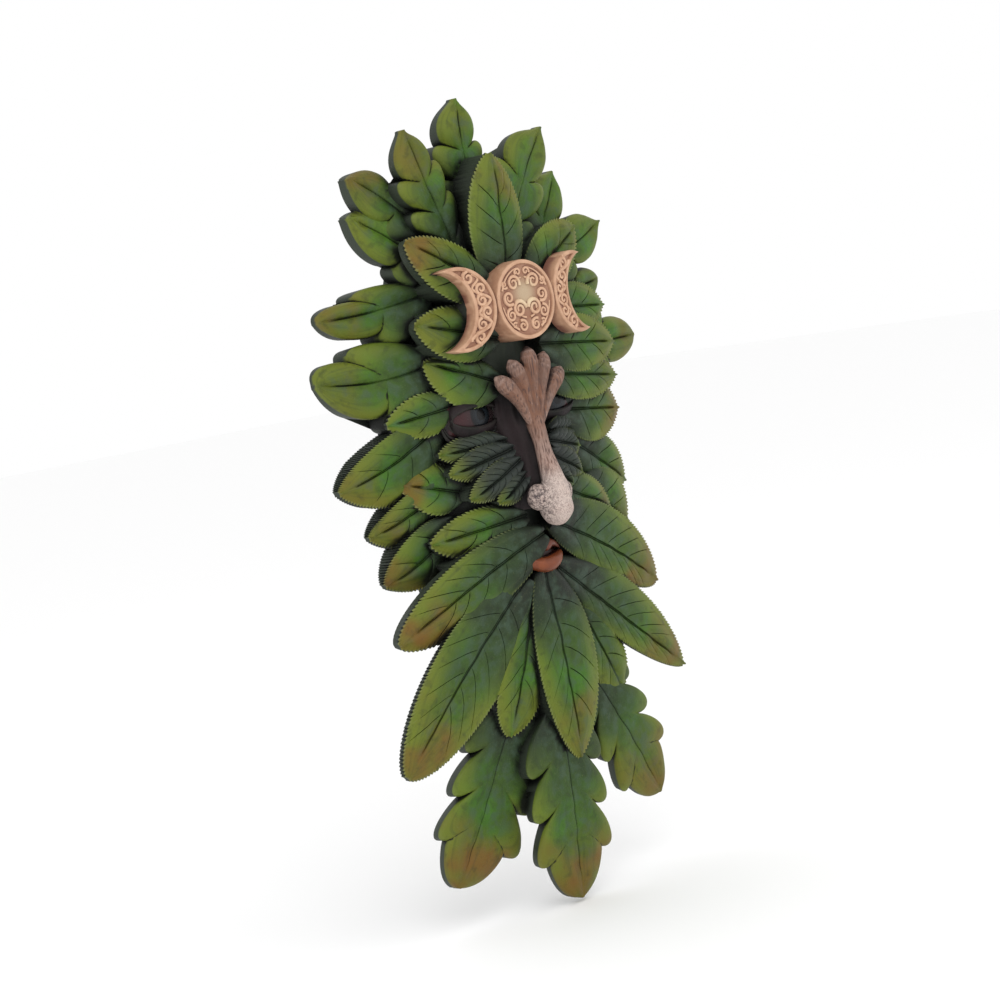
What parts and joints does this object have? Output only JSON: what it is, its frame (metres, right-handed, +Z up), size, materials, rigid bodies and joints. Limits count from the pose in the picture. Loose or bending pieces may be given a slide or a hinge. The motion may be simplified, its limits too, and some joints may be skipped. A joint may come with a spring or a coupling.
{
  "type": "green man wall plaque",
  "caption": "Tall wall plaque: a calm face of overlapping leaves with a branch for a nose, an oak leaf crown, a leaf beard and moons on the brow, flat behind.",
  "frame": {"origin": "on the flat back, on the centre line, half way up the mask", "axes": "+Z up the mask, +Y into the wall behind it, so the face looks along -Y, +X to the viewer's right"},
  "size_m": [0.206, 0.06, 0.395],
  "materials": {
    "painted_resin": "cast resin, hand painted in greens over charcoal with brown tips, satin"
  },
  "bodies": {
    "root": {"green_man_plaque": "painted_resin"}
  },
  "joints": []
}
